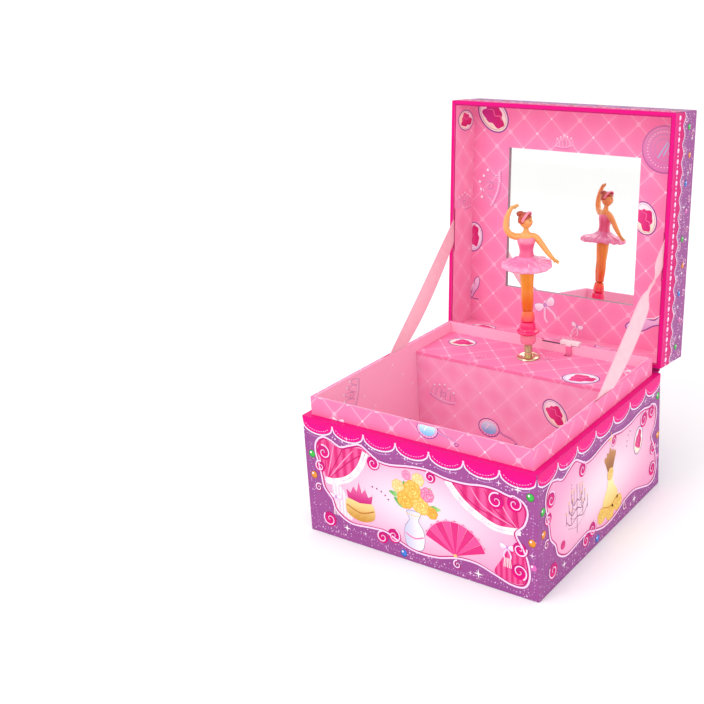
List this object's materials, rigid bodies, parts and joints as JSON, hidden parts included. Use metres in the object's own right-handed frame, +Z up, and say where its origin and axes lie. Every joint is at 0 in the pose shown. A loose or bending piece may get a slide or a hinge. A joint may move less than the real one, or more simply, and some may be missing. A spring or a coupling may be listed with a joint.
{
  "type": "musical jewellery box",
  "caption": "Square paper-covered jewellery box with a hinged mirror lid, an open tray and a raised deck where a small dancer turns to a clockwork tune",
  "frame": {"origin": "middle of the underside of the base", "axes": "+Z up, -Y the front of the box, +Y the hinge side, X across"},
  "size_m": [0.15, 0.196, 0.2235],
  "materials": {
    "print_paper": "printed paper, semi-matt",
    "liner_paper": "printed paper, matt",
    "grey_card": "raw card",
    "mirror": "silvered",
    "brass": "polished",
    "steel": "brushed",
    "white_plastic": "moulded",
    "felt": "felt",
    "ribbon": "satin",
    "pink_plastic": "moulded, glossy",
    "clear_pink": "moulded, translucent",
    "orange_plastic": "moulded, translucent",
    "skirt_plastic": "moulded, pearly",
    "skin_plastic": "painted",
    "hair_plastic": "painted"
  },
  "bodies": {
    "base": {"base_shell": "print_paper", "base_bottom": "print_paper", "neck_liner": "liner_paper", "compartment_floor": "liner_paper", "platform_front": "liner_paper", "platform_deck": "liner_paper", "deck_eyelet": "brass", "hinge_leaf_base": "print_paper", "hinge_spine": "print_paper", "key_plate": "brass", "bedplate": "steel", "bedplate_screws": "steel", "lower_bracket": "steel", "train_bracket": "steel", "footstep_bracket": "steel", "comb_block": "steel", "comb": "steel", "comb_screws": "brass", "stop_guide": "white_plastic", "ribbon_left": "ribbon", "ribbon_right": "ribbon", "fold_spring": "brass"},
    "lid": {"lid_shell": "print_paper", "lid_liner": "liner_paper", "mirror_frame": "liner_paper", "mirror_glass": "mirror", "mirror_backing": "grey_card", "lid_spacers": "grey_card", "hinge_leaf_lid": "print_paper"},
    "cylinder": {"spindle": "brass", "tune_cylinder": "brass", "tune_pins": "steel", "drive_pinion": "brass", "cylinder_wheel": "brass"},
    "barrel": {"great_wheel": "brass", "spring_barrel": "steel", "barrel_cover": "brass"},
    "idler": {"idler_arbor": "steel", "idler_pinion": "brass", "idler_wheel": "brass"},
    "fly": {"fly_arbor": "steel", "fly_pinion": "brass", "fly_vane": "white_plastic"},
    "key": {"winding_arbor": "steel", "winding_key": "brass"},
    "stop": {"stop_slider": "white_plastic", "stop_pad": "felt"},
    "fold": {"fold_cup": "clear_pink"},
    "doll": {"doll_pedestal": "pink_plastic", "doll_ankles": "clear_pink", "doll_legs": "orange_plastic", "doll_skirt": "skirt_plastic", "doll_bodice": "pink_plastic", "doll_arms": "skin_plastic", "doll_head": "skin_plastic", "doll_hair": "hair_plastic", "doll_headband": "pink_plastic"}
  },
  "joints": [
    {"name": "lid_hinge", "type": "hinge", "parent": "base", "child": "lid", "pos_m": [0, 0.076, 0.0731], "axis": [1, 0, 0], "range_deg": [0, 95.8], "deforming": ["ribbon_left", "ribbon_right", "hinge_spine"]},
    {"name": "tune_spin", "type": "hinge", "parent": "base", "child": "cylinder", "pos_m": [-0.002, 0.053, 0.045], "axis": [0, 0, 1], "continuous": true},
    {"name": "barrel_spin", "type": "hinge", "parent": "base", "child": "barrel", "pos_m": [-0.002, 0.06, 0.019], "axis": [0, 1, 0], "continuous": true},
    {"name": "idler_spin", "type": "hinge", "parent": "base", "child": "idler", "pos_m": [0.00925, 0.053, 0.06], "axis": [0, 0, 1], "continuous": true},
    {"name": "fly_spin", "type": "hinge", "parent": "base", "child": "fly", "pos_m": [0.01725, 0.053, 0.065], "axis": [0, 0, 1], "continuous": true},
    {"name": "key_turn", "type": "hinge", "parent": "base", "child": "key", "pos_m": [-0.002, 0.08, 0.019], "axis": [0, 1, 0], "continuous": true},
    {"name": "stop_slide", "type": "slide", "parent": "base", "child": "stop", "axis": [0, -1, 0], "range_m": [0, 0.0022]},
    {"name": "doll_fold", "type": "hinge", "parent": "base", "child": "fold", "pos_m": [-0.002, 0.053, 0.0877], "axis": [1, 0, 0], "range_deg": [0, 106], "deforming": ["fold_spring"]},
    {"name": "doll_spin", "type": "hinge", "parent": "fold", "child": "doll", "pos_m": [-0.002, 0.053, 0.095], "axis": [0, 0, 1], "continuous": true}
  ],
  "couplings": [
    {"joint": "doll_fold", "follows": "lid_hinge", "ratio": 1.1065},
    {"joint": "stop_slide", "follows": "lid_hinge", "m_per_rad": 0.0013158},
    {"joint": "barrel_spin", "follows": "tune_spin", "ratio": -0.3},
    {"joint": "idler_spin", "follows": "tune_spin", "ratio": -4},
    {"joint": "fly_spin", "follows": "tune_spin", "ratio": 16},
    {"joint": "doll_spin", "follows": "tune_spin", "ratio": 1}
  ]
}
